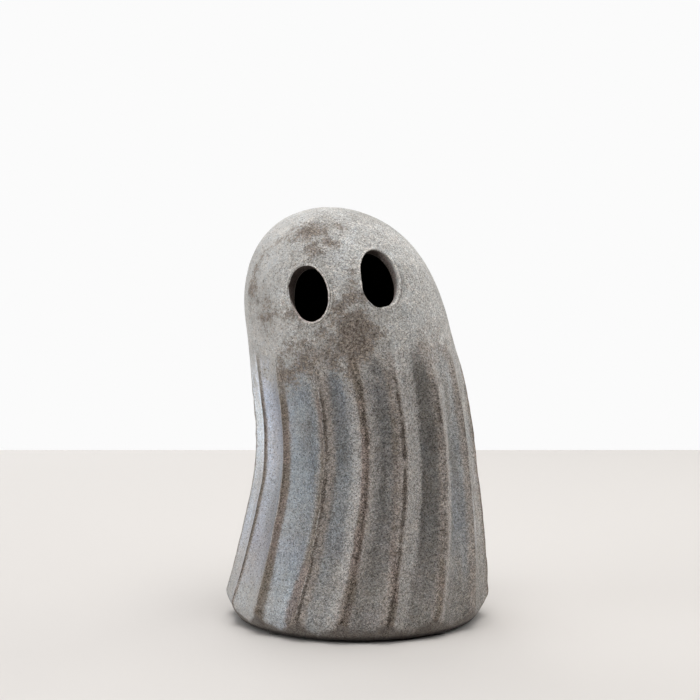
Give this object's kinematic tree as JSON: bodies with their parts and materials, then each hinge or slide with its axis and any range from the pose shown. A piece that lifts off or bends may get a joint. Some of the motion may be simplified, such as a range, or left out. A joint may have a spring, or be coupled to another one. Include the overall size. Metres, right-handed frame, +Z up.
{
  "type": "ghost figurine",
  "caption": "Hollow stoneware ghost with a leaning domed head, oval eye holes, a fluted skirt and an open underside, standing on felt pads.",
  "frame": {"origin": "on the table, under the middle of the figure's outline", "axes": "+Z up, -Y the way the face looks, +X on the right of someone who faces the figure"},
  "size_m": [0.156, 0.155, 0.24],
  "materials": {
    "clay": "matte, sandy, unglazed, with a pale blue-grey wash in the flutes",
    "felt": "pressed felt"
  },
  "bodies": {
    "root": {"ghost_body": "clay", "foot_pad_front_right": "felt", "foot_pad_back_right": "felt", "foot_pad_back_left": "felt", "foot_pad_front_left": "felt"}
  },
  "joints": []
}
